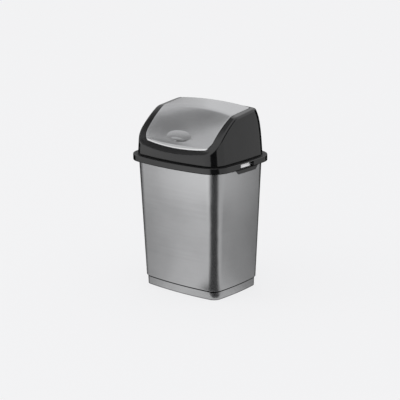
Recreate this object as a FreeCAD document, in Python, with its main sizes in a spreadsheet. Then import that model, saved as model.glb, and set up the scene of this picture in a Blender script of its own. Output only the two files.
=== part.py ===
import FreeCAD, Part
import math
import os
import re
import Sketcher

# A small kitchen bin with a swing lid, in millimetres: a tapered tub, a hooded lid
# frame that snaps over its rim, and a flap that swings on two pins inside the hood.
# The bin stands on z = 0, its front faces -Y and its width runs along X.

doc = FreeCAD.newDocument("swing_bin")
sheet = doc.addObject("Spreadsheet::Sheet", "Sizes")

SIZES = (
    # the tub: half width and half depth are taken at the middle of each bowed side
    ("step_height", 19.6, "height of the foot ring, where the tub steps out"),
    ("rim_height", 284.7, "top of the tub's rim"),
    ("step_half_width", 103.0, "tub at the step"),
    ("step_half_depth", 79.6, "tub at the step"),
    ("step_corner", 21.6, "corner radius at the step"),
    ("tub_spread", 12.2, "how much wider the tub is all round at its rim"),
    ("tub_side_bow", 575.0, "radius that bows the left and right sides at the step"),
    ("tub_front_bow", 680.0, "radius that bows the front and back at the step"),
    ("tub_wall", 2.0, "wall of the tub"),
    ("foot_inset", 2.65, "how far the foot ring stands in from the step"),
    ("foot_draft", 0.7, "how much the foot ring narrows down to the ground"),
    ("foot_ring_wide", 4.0, "width of the ring that the tub stands on"),
    ("base_raise", 3.0, "hollow under the base"),
    ("floor_thick", 2.4, "floor of the tub"),
    ("floor_round", 4.0, "fillet between floor and wall, inside"),
    ("step_round", 1.2, "rounding of the step's outer edge"),
    ("rim_reach", 3.6, "how far the rim stands out from the wall"),
    ("rim_thick", 2.0, "thickness of the rim's flat top and lip"),
    ("rim_lip", 6.0, "height of the rim's turned-down lip"),
    ("rim_round", 1.4, "rounding of the rim's outer edge"),
    ("lug_half_long", 28.5, "half length of each snap lug"),
    ("lug_drop", 12.4, "how far a lug reaches below the top of the rim"),
    ("lug_top_drop", 1.6, "where a lug's ramp starts below the top of the rim"),
    ("lug_nose", 1.3, "how far a lug's nose stands out from the lip"),
    ("lug_land", 1.5, "height of the flat under a lug's ramp"),
    # the lid frame: skirt band, ledge, snap tabs and locating collar
    ("seat_gap", 0.3, "between the rim and the lid that rests on it"),
    ("side_clear", 4.0, "between the rim and the band, left and right"),
    ("end_clear", 8.4, "between the rim and the band, front and back"),
    ("band_corner", 45.2, "corner radius of the band"),
    ("band_tall", 12.1, "height of the band's outer face"),
    ("band_wall", 2.2, "wall of the band"),
    ("ledge_wide", 10.2, "the flat ledge between band and hood"),
    ("ledge_thick", 2.0, "thickness of the ledge"),
    ("ledge_round", 1.0, "rounding of the ledge's outer edge"),
    ("tab_drop", 8.6, "how far a snap tab hangs below the band"),
    ("tab_half_long", 28.0, "half length of a tab at its lower edge"),
    ("tab_flare", 8.6, "how far a tab's end slopes out up to the band"),
    ("window_half_long", 21.5, "half length of the window above each tab"),
    ("window_rise", 0.8, "how far a window's sill lies above the band's lower edge"),
    ("hook_tall", 3.6, "height of the hook inside a tab"),
    ("hook_half_long", 18.0, "half length of the hook"),
    ("collar_clear", 0.9, "between the locating collar and the tub's wall"),
    ("collar_wall", 1.8, "wall of the collar"),
    ("collar_drop", 8.0, "how far the collar reaches into the tub"),
    # the hood in plan
    ("hood_side_bow", 1008.0, "radius that bows the hood's cheeks"),
    ("hood_front_bow", 538.0, "radius that bows the hood's front and back"),
    ("hood_corner", 35.0, "corner radius of the hood"),
    ("hood_wall", 2.2, "wall of the hood"),
    ("hood_edge_round", 5.0, "rounding between the hood's top and its walls"),
    # the curved top that the hood and the flap share, seen from the side; heights
    # are rises above the underside of the ledge
    ("profile_drop", 9.0, "how far the side outlines start below the ledge"),
    ("chin_fore", 75.0, "where the slope turns into the chin, before the middle"),
    ("chin_radius", 60.0, "hollow arc that eases the slope into the chin"),
    ("slope_centre_back", 101.8, "centre of the sloping arc, behind the middle"),
    ("slope_centre_drop", 101.6, "centre of the sloping arc, below the ledge"),
    ("slope_radius", 226.4, "radius of the sloping arc"),
    ("bend_round", 32.0, "bend between the slope and the top"),
    ("bend_fore", 3.0, "where the top's line is given, before the middle"),
    ("bend_rise", 96.3, "height of the top's line there"),
    ("crest_rise", 102.8, "height of the top's line at the flap's rear edge"),
    ("tail_fall", 15.0, "how far the top then falls to the rear end of its outline"),
    ("tail_round", 12.0, "bend where the top starts to fall, behind the flap"),
    ("frame_dip", 2.1, "how far the frame dips at its middle, on the slope"),
    ("frame_flare", 0.4, "how far the frame rises at its sides, on the slope"),
    ("top_crown", 5.2, "how far the top is crowned at its middle"),
    ("frame_shoulder", 3.1, "how far the frame's top falls at its sides"),
    ("frame_back_dip", 4.0, "how far the frame's rear bar lies below the crown of the top"),
    ("flap_sink", 0.2, "how far the flap lies below the frame at its sides"),
    ("slope_crown", 1.7, "how far the flap's slope is crowned at its middle"),
    # the flap in plan
    ("cheek_margin", 22.9, "from the foot of the hood's cheeks in to the flap"),
    ("back_margin", 43.8, "from the foot of the hood's back in to the flap"),
    ("front_margin", 13.8, "from the foot of the hood's front in to the flap"),
    ("flap_front_bow", 800.0, "radius that bows the flap's front edge"),
    ("flap_narrowing", 2.6, "how much each side of the flap narrows to its front"),
    ("narrowing_length", 65.0, "length from the bend over which it narrows"),
    ("flap_corner", 16.0, "front corners of the flap"),
    ("flap_tail_corner", 6.0, "rear corners of the flap"),
    ("flap_gap", 1.0, "gap between the flap and the frame"),
    ("flap_thick", 2.0, "plate of the flap"),
    ("flap_lip", 5.0, "depth of the flap's turned-down edge, with its plate"),
    ("flap_lip_wall", 2.0, "thickness of that edge"),
    ("flap_edge_round", 1.8, "rounding of the flap's outer edge"),
    # the thumb dish is pressed into the flap by an egg shape that hangs over it
    ("dish_half_wide", 56.0, "half width of the egg shape"),
    ("dish_half_tall", 24.0, "half height of the egg shape, along the slope"),
    ("dish_half_deep", 8.0, "half depth of the egg shape"),
    ("dish_lift", 6.3, "how far the egg's middle lies outside the flap"),
    ("dish_fore", 67.5, "middle of the dish, before the middle"),
    ("nick_half_wide", 21.0, "half width of the hollow that leaves a sharp lip at the dish's foot"),
    ("nick_half_tall", 6.5, "half height of that hollow, along the slope"),
    ("nick_half_deep", 2.2, "half depth of the hollow's egg shape"),
    ("nick_lift", 0.4, "how far that egg's middle lies outside the flap"),
    ("nick_fore", 71.5, "middle of the hollow, before the middle"),
    # the pivots
    ("pivot_fore", 24.0, "pivot axis, before the middle"),
    ("pivot_rise", 74.5, "pivot axis, above the ledge's underside"),
    ("pin_radius", 3.0, "radius of each pivot pin"),
    ("pin_play", 0.06, "running clearance round a pin"),
    ("pin_long", 7.5, "how far a pin reaches into its boss"),
    ("pin_end_gap", 0.5, "between a pin's end and the bottom of its hole"),
    ("pin_chamfer", 0.6, "chamfer on a pin's end"),
    ("ear_radius", 6.0, "rounded foot of each ear"),
    ("ear_thick", 3.0, "thickness of an ear"),
    ("ear_margin", 4.0, "from the flap's widest side in to an ear"),
    ("boss_radius", 6.0, "boss on each cheek that holds a pin"),
    ("boss_gap", 3.5, "between an ear and its boss"),
    # the lugs in the hood's rear corners that the flap rests on
    ("rest_wide", 12.0, "width of each rest lug"),
    ("rest_margin", 9.0, "from the flap's side in to a rest lug"),
    ("rest_under", 6.0, "how far the lugs reach under the flap"),
    ("rest_gap", 0.5, "between the lugs and the flap's rear edge"),
    ("rest_thick", 2.5, "thickness of the rest lugs"),
    ("overrun", 10.0, "how far cutting shapes run past what they cut"),
)

# the hood's walls lean in as they rise: rise above the ledge's underside, then how
# far the sides, the front and the back have come in
HOOD_LEVELS = (
    ("0", "0", "0", "0"),
    ("30", "2.5", "0.5", "0.2"),
    ("65", "5.5", "1.0", "2.8"),
    ("95", "8.3", "1.6", "13.0"),
    ("113", "9.9", "2.1", "32.0"),
)

# places that follow from those sizes
LID_BASE = "rim_height + seat_gap"
LEDGE_TOP = "rim_height + seat_gap + ledge_thick"
BAND_BOTTOM = "rim_height + seat_gap + ledge_thick - band_tall"
TAB_BOTTOM = "rim_height + seat_gap + ledge_thick - band_tall - tab_drop"
RIM_HALF = "step_half_width + tub_spread"
RIM_DEPTH = "step_half_depth + tub_spread"
BAND_HALF = RIM_HALF + " + rim_reach + side_clear + band_wall"
BAND_DEPTH = RIM_DEPTH + " + rim_reach + end_clear + band_wall"
HOOD_HALF = BAND_HALF + " - ledge_wide"
HOOD_DEPTH = BAND_DEPTH + " - ledge_wide"
FLAP_HALF = HOOD_HALF + " - cheek_margin"
FLAP_BACK = HOOD_DEPTH + " - back_margin"
TAIL_START = FLAP_BACK + " + 2 * flap_gap"
FLAP_FRONT = HOOD_DEPTH + " - front_margin"
TOP_REACH = HOOD_DEPTH + " + 2 * overrun"
FRAME_REACH = HOOD_HALF + " + overrun / 2"
FLAP_REACH = FLAP_HALF + " + flap_lip_wall"
SLOPE_HEIGHT = "rim_height + seat_gap - slope_centre_drop"
PIVOT_HEIGHT = "rim_height + seat_gap + pivot_rise"
EAR_FACE = FLAP_HALF + " - ear_margin"
BOSS_FACE = EAR_FACE + " + boss_gap"


def fill_sheet():
    """Write every size with its alias, then the hood's table of levels."""
    for row, (name, value, note) in enumerate(SIZES, 1):
        sheet.set("A%d" % row, note)
        sheet.set("B%d" % row, str(value))
        sheet.setAlias("B%d" % row, name)
    names = ("level_rise", "level_side_in", "level_front_in", "level_back_in")
    for index, values in enumerate(HOOD_LEVELS, 1):
        row = len(SIZES) + index
        sheet.set("A%d" % row, "the hood's outline at level %d" % index)
        for column, name, value in zip("BCDE", names, values):
            sheet.set("%s%d" % (column, row), value)
            sheet.setAlias("%s%d" % (column, row), "%s_%d" % (name, index))
    doc.recompute()


def sized(formula):
    """Point each size named in a formula at its cell in the sheet."""
    return re.sub(r"\b([a-z]\w*)\b(?!\()", r"Sizes.\1", formula)


def number(formula):
    """The value of a formula of named sizes."""
    return float(sheet_reader.evalExpression(sized(formula)))


def vector(x, y):
    return FreeCAD.Vector(x, y, 0)


def new_body(name):
    body = doc.addObject("PartDesign::Body", name)
    body.Label = name
    return body


def new_sketch(body, name, role, offset="0"):
    """A sketch on one of the body's own planes, moved along that plane's normal."""
    sketch = body.newObject("Sketcher::SketchObject", name)
    planes = [item for item in body.Origin.OriginFeatures if item.Role == role]
    sketch.AttachmentSupport = [(planes[0], "")]
    sketch.MapMode = "FlatFace"
    sketch.setExpression(".AttachmentOffset.Base.z", sized(offset))
    return sketch


def limit(sketch, *terms):
    """Add a constraint; a formula as its last term is bound to the sheet."""
    terms = list(terms)
    formula = terms[-1] if len(terms) > 2 and isinstance(terms[-1], str) else None
    if formula:
        terms[-1] = number(formula)
    index = sketch.addConstraint(Sketcher.Constraint(*terms))
    if formula:
        sketch.setExpression("Constraints[%d]" % index, sized(formula))


def place_point(sketch, edge, point, x=None, y=None):
    """Hold a point of an edge at given distances from the origin."""
    for kind, formula in (("DistanceX", x), ("DistanceY", y)):
        if formula is not None:
            limit(sketch, kind, -1, 1, edge, point, formula)


def closed_lines(sketch, points):
    """A closed outline of straight lines through points given as formulas."""
    places = [vector(number(x), number(y)) for x, y in points]
    count = len(places)
    first = sketch.GeometryCount
    for index in range(count):
        line = Part.LineSegment(places[index], places[(index + 1) % count])
        sketch.addGeometry(line, False)
    for index, (x, y) in enumerate(points):
        before = first + (index - 1) % count
        limit(sketch, "Coincident", before, 2, first + index, 1)
        place_point(sketch, first + index, 1, x, y)


def round_outline(sketch, half_width, front, back, corner, side_bow, front_bow):
    """A rectangle with bowed sides and rounded corners, all its arcs tangent.

    The arcs run anticlockwise: right side, rear right corner, back, and so on.
    """
    width, fore, aft = number(half_width), number(front), number(back)
    small, side, long = number(corner), number(side_bow), number(front_bow)
    centres = {"right": (width - side, 0), "left": (side - width, 0),
               "front": (0, long - fore), "back": (0, aft - long)}

    def corner_centre(bow, sign):
        """Where a corner's circle touches the right side and the front or back."""
        ax, ay = centres["right"]
        bx, by = centres[bow]
        span = math.hypot(bx - ax, by - ay)
        near, far = side - small, long - small
        along = (near ** 2 - far ** 2 + span ** 2) / (2 * span)
        aside = math.sqrt(near ** 2 - along ** 2)
        ux, uy = (bx - ax) / span, (by - ay) / span
        return ax + along * ux - sign * aside * uy, ay + along * uy + sign * aside * ux

    rear = max((corner_centre("back", sign) for sign in (-1, 1)), key=lambda spot: spot[0] + spot[1])
    fore_spot = max((corner_centre("front", sign) for sign in (-1, 1)), key=lambda spot: spot[0] - spot[1])
    middles = [("right", centres["right"], side), ("corner", rear, small),
               ("back", centres["back"], long), ("corner", (-rear[0], rear[1]), small),
               ("left", centres["left"], side), ("corner", (-fore_spot[0], fore_spot[1]), small),
               ("front", centres["front"], long), ("corner", fore_spot, small)]

    def touch(first, second):
        """Angle, seen from the first centre, of the point where two arcs meet."""
        big, little = (first, second) if first[2] > second[2] else (second, first)
        return math.atan2(little[1][1] - big[1][1], little[1][0] - big[1][0])

    first = sketch.GeometryCount
    for index, item in enumerate(middles):
        start = touch(item, middles[index - 1])
        end = touch(item, middles[(index + 1) % len(middles)])
        if end < start:
            end += 2 * math.pi
        circle = Part.Circle(vector(*item[1]), FreeCAD.Vector(0, 0, 1), item[2])
        sketch.addGeometry(Part.ArcOfCircle(circle, start, end), False)
    arcs = list(range(first, first + len(middles)))
    right, rear_arc, left, fore_arc = arcs[::2]
    for index, arc in enumerate(arcs):
        limit(sketch, "Tangent", arc, 2, arcs[(index + 1) % len(arcs)], 1)
    for arc in (right, left):
        limit(sketch, "PointOnObject", arc, 3, -1)
        limit(sketch, "Radius", arc, side_bow)
    for arc in (rear_arc, fore_arc):
        limit(sketch, "PointOnObject", arc, 3, -2)
        limit(sketch, "Radius", arc, front_bow)
    for arc in arcs[1::2]:
        limit(sketch, "Radius", arc, corner)
    place_point(sketch, right, 3, x="(%s) - (%s)" % (half_width, side_bow))
    place_point(sketch, left, 3, x="(%s) - (%s)" % (side_bow, half_width))
    place_point(sketch, rear_arc, 3, y="(%s) - (%s)" % (back, front_bow))
    place_point(sketch, fore_arc, 3, y="(%s) - (%s)" % (front_bow, front))


def ring_terms(half_width, half_depth, corner, bows, inset="0"):
    """The terms of a round outline for a level ring, moved inward by the inset."""
    depth = "%s - (%s)" % (half_depth, inset)
    return ("%s - (%s)" % (half_width, inset), depth, depth, "%s - (%s)" % (corner, inset),
            "%s - (%s)" % (bows[0], inset), "%s - (%s)" % (bows[1], inset))


def ring_sketch(body, name, height, *ring, inset="0"):
    """A level outline, moved inward by the inset all round."""
    sketch = new_sketch(body, name, "XY_Plane", height)
    round_outline(sketch, *ring_terms(*ring, inset=inset))
    return sketch


def loft(body, name, sketches, kind="Additive", ruled=False):
    feature = body.newObject("PartDesign::%sLoft" % kind, name)
    feature.Profile = sketches[0]
    feature.Sections = sketches[1:]
    feature.Ruled = ruled
    doc.recompute()
    return feature


def pad(body, name, sketch, length, reverse=False, kind="Pad", through=False, midplane=False):
    feature = body.newObject("PartDesign::" + kind, name)
    feature.Profile = sketch
    if midplane:
        feature.SideType = "Symmetric"
    if through:
        feature.Type = "ThroughAll"
    else:
        feature.setExpression("Length", sized(length))
    feature.Reversed = reverse
    before = feature_volume(body, feature)
    doc.recompute()
    if kind == "Pocket" and not feature.Shape.Volume < before:
        raise ValueError("the pocket %s cuts nothing" % name)
    return feature


def feature_volume(body, feature):
    """Volume of the body as it stood before the feature."""
    solids = [item for item in body.Group if item is not feature and hasattr(item, "Shape")]
    solids = [item for item in solids if item.Shape.Solids]
    return solids[-1].Shape.Volume if solids else 0


def combine(body, name, kind, tool):
    """Join, cut or intersect a body with another body."""
    feature = body.newObject("PartDesign::Boolean", name)
    feature.setObjects([tool])
    feature.Type = kind
    doc.recompute()
    return feature


def round_edges(body, name, radius, wanted, kind="Fillet"):
    """Fillet or chamfer the edges of the body's last feature that the test picks."""
    base = body.Tip
    picked = [index for index, edge in enumerate(base.Shape.Edges, 1) if wanted(edge)]
    feature = body.newObject("PartDesign::" + kind, name)
    feature.Base = (base, ["Edge%d" % index for index in picked])
    feature.setExpression("Radius" if kind == "Fillet" else "Size", sized(radius))
    doc.recompute()
    return feature


def mirror_across_width(body, name, features):
    """Repeat features on the other side of the middle plane."""
    feature = body.newObject("PartDesign::Mirrored", name)
    feature.Originals = features
    planes = [item for item in body.Origin.OriginFeatures if item.Role == "YZ_Plane"]
    feature.MirrorPlane = (planes[0], [""])
    body.Tip = feature
    doc.recompute()
    return feature


def edge_middle(edge):
    return edge.valueAt((edge.FirstParameter + edge.LastParameter) / 2)


# The tub


def build_tub():
    """The tub: a stepped, tapered shell with a flat rim, a lip and two snap lugs."""
    body = new_body("bin_body")
    bows = ("tub_side_bow", "tub_front_bow")
    step = ("step_half_width", "step_half_depth", "step_corner", bows)
    rim = [size + " + tub_spread" for size in step[:3]]
    rim.append([bow + " + tub_spread" for bow in bows])

    foot_low = ring_sketch(body, "foot_low", "0", *step, inset="foot_inset + foot_draft")
    foot_high = ring_sketch(body, "foot_high", "step_height", *step, inset="foot_inset")
    loft(body, "foot", [foot_low, foot_high], ruled=True)
    wall_low = ring_sketch(body, "wall_low", "step_height", *step)
    wall_high = ring_sketch(body, "wall_high", "rim_height", *rim)
    loft(body, "wall", [wall_low, wall_high], ruled=True)
    step_level = number("step_height")
    step_inner = number("step_half_width - foot_inset")
    round_edges(body, "step_edge", "step_round", lambda edge: outer_level_edge(
        edge, step_level, step_inner, number("step_half_depth - foot_inset")))

    # the rim: a flat flange with a turned-down lip
    flange = ring_sketch(body, "flange_outline", "rim_height", *rim, inset="0 - rim_reach")
    pad(body, "flange", flange, "rim_lip", reverse=True)
    round_edges(body, "rim_edge", "rim_round", lambda edge: outer_level_edge(
        edge, number("rim_height"), number(RIM_HALF), number(RIM_DEPTH)))
    groove = ring_sketch(body, "lip_groove", "rim_height - rim_thick", *rim,
                         inset="0 - rim_reach + rim_thick")
    round_outline(groove, *ring_terms(*rim))
    pad(body, "under_flange", groove, "rim_lip", kind="Pocket")

    # the inside, stepped like the outside
    well_low = ring_sketch(body, "well_low", "base_raise + floor_thick", *step,
                           inset="foot_inset + foot_draft + tub_wall")
    well_high = ring_sketch(body, "well_high", "step_height + tub_wall", *step,
                            inset="foot_inset + tub_wall")
    loft(body, "well", [well_low, well_high], kind="Subtractive", ruled=True)
    inside_low = ring_sketch(body, "inside_low", "step_height + tub_wall", *step, inset="tub_wall")
    inside_high = ring_sketch(body, "inside_high", "rim_height", *rim, inset="tub_wall")
    loft(body, "inside", [inside_low, inside_high], kind="Subtractive", ruled=True)
    floor_level = number("base_raise + floor_thick")
    round_edges(body, "floor_fillet", "floor_round", lambda edge: outer_level_edge(
        edge, floor_level, 0, 0))
    hollow = ring_sketch(body, "base_hollow_outline", "0", *step,
                         inset="foot_inset + foot_draft + foot_ring_wide")
    pad(body, "base_hollow", hollow, "base_raise", reverse=True, kind="Pocket")

    # a ramped lug on each side of the lip, for the lid's tabs
    lug = new_sketch(body, "lug_outline", "XZ_Plane", "0 - lug_half_long")
    lip_face = RIM_HALF + " + rim_reach"
    nose = lip_face + " + lug_nose"
    closed_lines(lug, (
        (lip_face + " - rim_thick", "rim_height - lug_drop"),
        (nose, "rim_height - lug_drop"),
        (nose, "rim_height - lug_drop + lug_land"),
        (lip_face + " - rim_thick / 2", "rim_height - lug_top_drop"),
        (lip_face + " - rim_thick", "rim_height - lug_top_drop"),
    ))
    lug_pad = pad(body, "lug", lug, "2 * lug_half_long")
    mirror_across_width(body, "lugs", [lug_pad])
    return body


def outer_level_edge(edge, level, beyond_x, beyond_y):
    """True for a level edge at a height, outside a box of half width and half depth."""
    box = edge.BoundBox
    flat = abs(box.ZMin - level) < FLAT and abs(box.ZMax - level) < FLAT
    middle = edge_middle(edge)
    return flat and (abs(middle.x) > beyond_x or abs(middle.y) > beyond_y)


# The hood and the flap share one family of side outlines


def side_outline(body, name, reach, slope_in="0", top_in="0"):
    """The side view of the lid's top: hollow chin, sloping arc, bend, rising line and tail.

    slope_in and top_in move the slope and the top inward, to crown the surface
    across its width or to make the inside of a wall.
    """
    sketch = new_sketch(body, name, "YZ_Plane", reach)
    foot_height = LID_BASE + " - profile_drop"
    bend_height = "%s + bend_rise - (%s)" % (LID_BASE, top_in)
    crest_height = "%s + crest_rise - (%s)" % (LID_BASE, top_in)
    tail_height = crest_height + " - tail_fall"
    span, foot = number(TOP_REACH), number(foot_height)
    radius = number("slope_radius - (%s)" % slope_in)
    bend = number("bend_round - (%s)" % slope_in)
    hollow = number("chin_radius + (%s)" % slope_in)
    centre = (number("slope_centre_back"), number(SLOPE_HEIGHT))
    chin_y = -number("chin_fore")
    chin = (chin_y, centre[1] + math.sqrt(radius ** 2 - (centre[0] - chin_y) ** 2))
    outward = (radius + hollow) / radius
    well = (centre[0] + (chin[0] - centre[0]) * outward, centre[1] + (chin[1] - centre[1]) * outward)
    chin_end = (-span, well[1] - math.sqrt(hollow ** 2 - (-span - well[0]) ** 2))
    mark = (-number("bend_fore"), number(bend_height))
    crest = (number(FLAP_BACK), number(crest_height))
    rise = (crest[1] - mark[1]) / (crest[0] - mark[0])
    brow_x = number(TAIL_START)
    brow = (brow_x, crest[1] + rise * (brow_x - crest[0]))
    tail = (span, number(tail_height))

    # the bend's circle lies inside the slope's circle and under the top line
    run = math.hypot(brow[0] - mark[0], brow[1] - mark[1])
    along = ((brow[0] - mark[0]) / run, (brow[1] - mark[1]) / run)
    start = (mark[0] + along[1] * bend - centre[0], mark[1] - along[0] * bend - centre[1])
    half = start[0] * along[0] + start[1] * along[1]
    rest = start[0] ** 2 + start[1] ** 2 - (radius - bend) ** 2
    back = -half - math.sqrt(half ** 2 - rest)
    middle = (centre[0] + start[0] + back * along[0], centre[1] + start[1] + back * along[1])
    slope_top = math.atan2(middle[1] - centre[1], middle[0] - centre[0])
    top_end = math.atan2(along[0], -along[1])
    chin_angle = math.atan2(chin[1] - centre[1], chin[0] - centre[0])
    bend_end = (middle[0] + bend * math.cos(top_end), middle[1] + bend * math.sin(top_end))

    # a second bend, under the top line and the falling tail
    small = number("tail_round")
    fall = math.atan2(tail[1] - brow[1], tail[0] - brow[0])
    reach_in = small * math.tan((math.atan(rise) - fall) / 2)
    top_start = (brow[0] - reach_in * along[0], brow[1] - reach_in * along[1])
    tail_end = (brow[0] + reach_in * math.cos(fall), brow[1] + reach_in * math.sin(fall))
    under_brow = (top_start[0] + small * along[1], top_start[1] - small * along[0])

    def arc_about(spot, size, start, end):
        circle = Part.Circle(vector(*spot), FreeCAD.Vector(0, 0, 1), size)
        return Part.ArcOfCircle(circle, start, end)

    for near, far in (((-span, foot), (span, foot)), ((span, foot), tail), (tail, tail_end)):
        sketch.addGeometry(Part.LineSegment(vector(*near), vector(*far)), False)
    sketch.addGeometry(arc_about(under_brow, small, fall + math.pi / 2, top_end), False)
    sketch.addGeometry(Part.LineSegment(vector(*top_start), vector(*bend_end)), False)
    sketch.addGeometry(arc_about(middle, bend, top_end, slope_top), False)
    sketch.addGeometry(arc_about(centre, radius, slope_top, chin_angle), False)
    end_angle = math.atan2(chin_end[1] - well[1], chin_end[0] - well[0])
    sketch.addGeometry(arc_about(well, hollow, end_angle, chin_angle - math.pi), False)
    sketch.addGeometry(Part.LineSegment(vector(*chin_end), vector(-span, foot)), False)
    sketch.addGeometry(Part.Point(vector(*mark)), True)
    sketch.addGeometry(Part.Point(vector(*crest)), True)
    sketch.addGeometry(Part.Point(vector(*brow)), True)

    base, rear, tail_line, tail_arc, top, bend_arc, slope_arc, chin_arc, front = range(9)
    bend_point, crest_point, brow_point = range(9, 12)
    for first, end, second, start in ((base, 2, rear, 1), (rear, 2, tail_line, 1),
                                      (chin_arc, 1, front, 1), (front, 2, base, 1)):
        limit(sketch, "Coincident", first, end, second, start)
    limit(sketch, "Tangent", tail_line, 2, tail_arc, 1)
    limit(sketch, "Tangent", tail_arc, 2, top, 1)
    limit(sketch, "Tangent", top, 2, bend_arc, 1)
    limit(sketch, "Tangent", bend_arc, 2, slope_arc, 1)
    limit(sketch, "Tangent", slope_arc, 2, chin_arc, 2)
    limit(sketch, "Horizontal", base)
    limit(sketch, "Vertical", rear)
    limit(sketch, "Vertical", front)
    limit(sketch, "DistanceX", base, 1, -1, 1, TOP_REACH)
    place_point(sketch, base, 2, x=TOP_REACH)
    place_point(sketch, base, 1, y=foot_height)
    limit(sketch, "DistanceX", bend_point, 1, -1, 1, "bend_fore")
    place_point(sketch, bend_point, 1, y=bend_height)
    place_point(sketch, crest_point, 1, FLAP_BACK, crest_height)
    for point in (bend_point, crest_point, brow_point):
        limit(sketch, "PointOnObject", point, 1, top)
    limit(sketch, "PointOnObject", brow_point, 1, tail_line)
    place_point(sketch, brow_point, 1, x=TAIL_START)
    place_point(sketch, tail_line, 1, y=tail_height)
    limit(sketch, "Radius", tail_arc, "tail_round")
    place_point(sketch, slope_arc, 3, "slope_centre_back", SLOPE_HEIGHT)
    limit(sketch, "Radius", slope_arc, "slope_radius - (%s)" % slope_in)
    limit(sketch, "DistanceX", slope_arc, 2, -1, 1, "chin_fore")
    limit(sketch, "Radius", bend_arc, "bend_round - (%s)" % slope_in)
    limit(sketch, "Radius", chin_arc, "chin_radius + (%s)" % slope_in)
    return sketch


def crowned_top(body, name, reach, sides, middle, inset="0"):
    """A solid under the lid's curved top: side outlines at the ends and the middle."""
    rows = (("left", "0 - (%s)" % reach, sides), ("middle", "0", middle), ("right", reach, sides))
    sketches = []
    for word, place, (slope_in, top_in) in rows:
        sketches.append(side_outline(body, "%s_%s" % (name, word), place,
                                     "%s + (%s)" % (slope_in, inset), "%s + (%s)" % (top_in, inset)))
    return loft(body, name, sketches)


FRAME_CURVE = (("0 - frame_flare", "frame_shoulder"), ("frame_dip", "frame_back_dip - top_crown"))
FLAP_CURVE = (("flap_sink", "flap_sink"), ("0 - slope_crown", "0 - top_crown"))


def hood_tower(body, name, inset="0"):
    """The hood's upright walls, which lean in as they rise."""
    sketches = []
    for index in range(1, len(HOOD_LEVELS) + 1):
        height = "%s + level_rise_%d" % (LID_BASE, index)
        sketch = new_sketch(body, "%s_level_%d" % (name, index), "XY_Plane", height)
        round_outline(sketch, "%s - level_side_in_%d - (%s)" % (HOOD_HALF, index, inset),
                      "%s - level_front_in_%d - (%s)" % (HOOD_DEPTH, index, inset),
                      "%s - level_back_in_%d - (%s)" % (HOOD_DEPTH, index, inset),
                      "hood_corner - (%s)" % inset, "hood_side_bow - (%s)" % inset,
                      "hood_front_bow - (%s)" % inset)
        sketches.append(sketch)
    return loft(body, name, sketches)


def hood_solid(name, inset="0", rounded=True):
    """The whole hood as a solid, or a smaller one inside it when it is inset."""
    body = new_body(name)
    hood_tower(body, name + "_tower", inset)
    under_top = new_body(name + "_under_top")
    crowned_top(under_top, name + "_top", FRAME_REACH, *FRAME_CURVE, inset=inset)
    combine(body, name + "_common", "Common", under_top)
    if rounded:
        foot = number(LEDGE_TOP)
        shape = body.Tip.Shape
        round_edges(body, name + "_edges", "hood_edge_round - (%s)" % inset,
                    lambda edge: edge.BoundBox.ZMin > foot and is_sharp(shape, edge))
    return body


def is_sharp(shape, edge):
    """True where the two faces beside an edge turn by more than a slight bend."""
    spot = edge_middle(edge)
    normals = []
    for face in shape.ancestorsOfType(edge, Part.Face):
        normals.append(face.normalAt(*face.Surface.parameter(spot)))
    return len(normals) == 2 and math.degrees(normals[0].getAngle(normals[1])) > SHARP_ANGLE


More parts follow.
